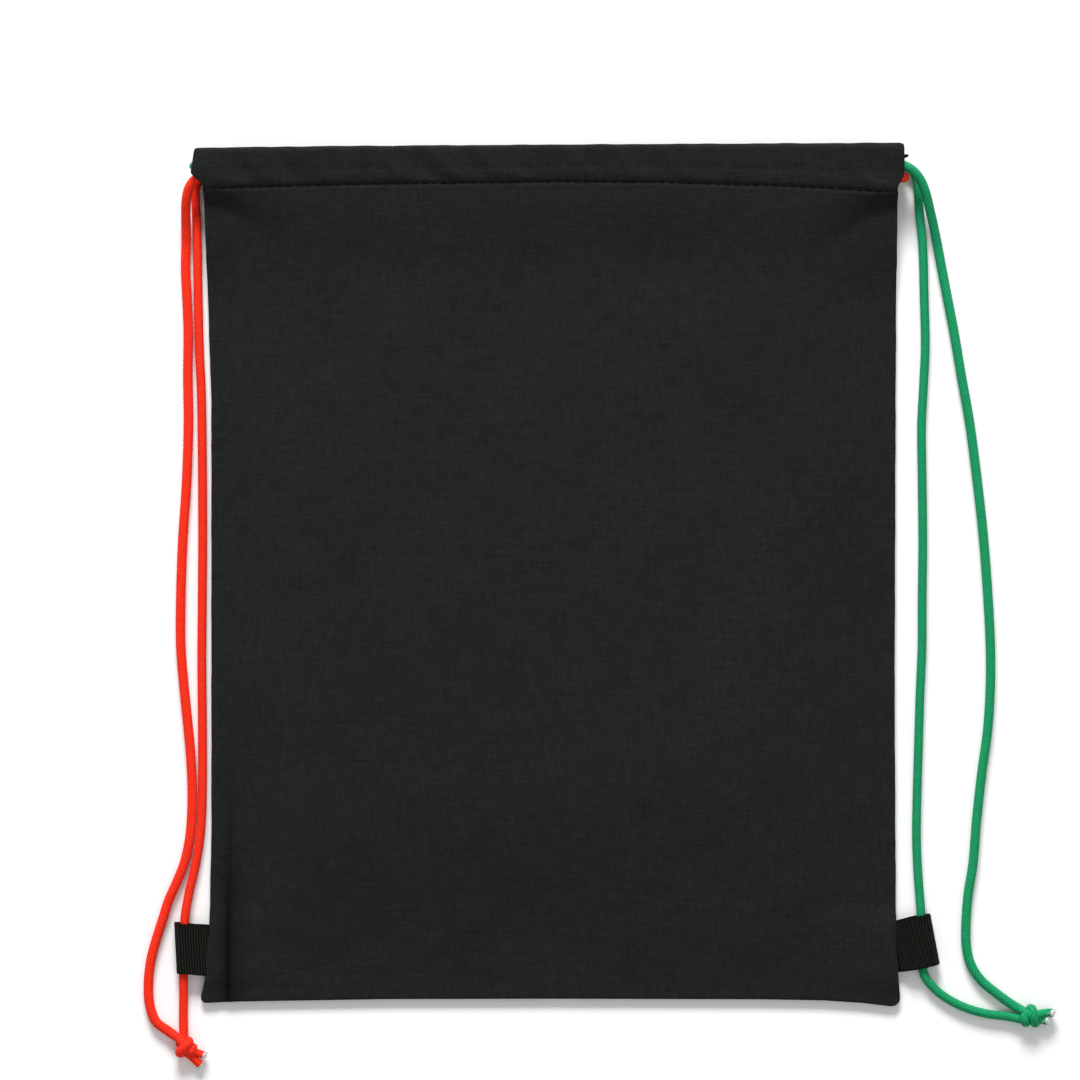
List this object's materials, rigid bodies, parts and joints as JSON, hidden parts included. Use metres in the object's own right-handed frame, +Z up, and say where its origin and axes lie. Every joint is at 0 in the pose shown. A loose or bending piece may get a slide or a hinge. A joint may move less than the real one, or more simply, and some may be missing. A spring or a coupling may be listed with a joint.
{
  "type": "drawstring bag",
  "caption": "Flat cotton drawstring bag with a casing along its mouth, knotted drawcords that double as shoulder straps, and webbing tabs at its lower corners.",
  "frame": {"origin": "centre of the bag's footprint on the surface it lies on, measured without the free cords and knots", "axes": "+Y from the bottom seam to the mouth, +X to the right seen from above, +Z up out of the front panel"},
  "size_m": [0.4488, 0.4542, 0.0172],
  "materials": {
    "cotton": "matte",
    "thread": "matte",
    "webbing": "matte",
    "red_braid": "matte",
    "green_braid": "matte"
  },
  "bodies": {
    "bag": {"back_panel": "cotton", "back_casing": "cotton", "back_casing_stitching": "thread", "left_seam_stitching": "thread", "right_seam_stitching": "thread", "bottom_seam_stitching": "thread", "left_tab": "webbing", "right_tab": "webbing", "red_cord_front_strand": "red_braid", "red_cord_far_loop": "red_braid", "red_cord_back_run": "red_braid", "red_cord_back_strand": "red_braid", "red_cord_knot": "red_braid", "green_cord_front_strand": "green_braid", "green_cord_far_loop": "green_braid", "green_cord_back_run": "green_braid", "green_cord_back_strand": "green_braid", "green_cord_knot": "green_braid"},
    "front": {"front_panel": "cotton", "front_casing": "cotton", "front_casing_stitching": "thread", "red_cord_front_run": "red_braid", "green_cord_front_run": "green_braid"}
  },
  "joints": [
    {"name": "mouth_open", "type": "hinge", "parent": "bag", "child": "front", "pos_m": [0, -0.21025, 0.00165], "axis": [1, 0, 0], "range_deg": [0, 9]}
  ]
}
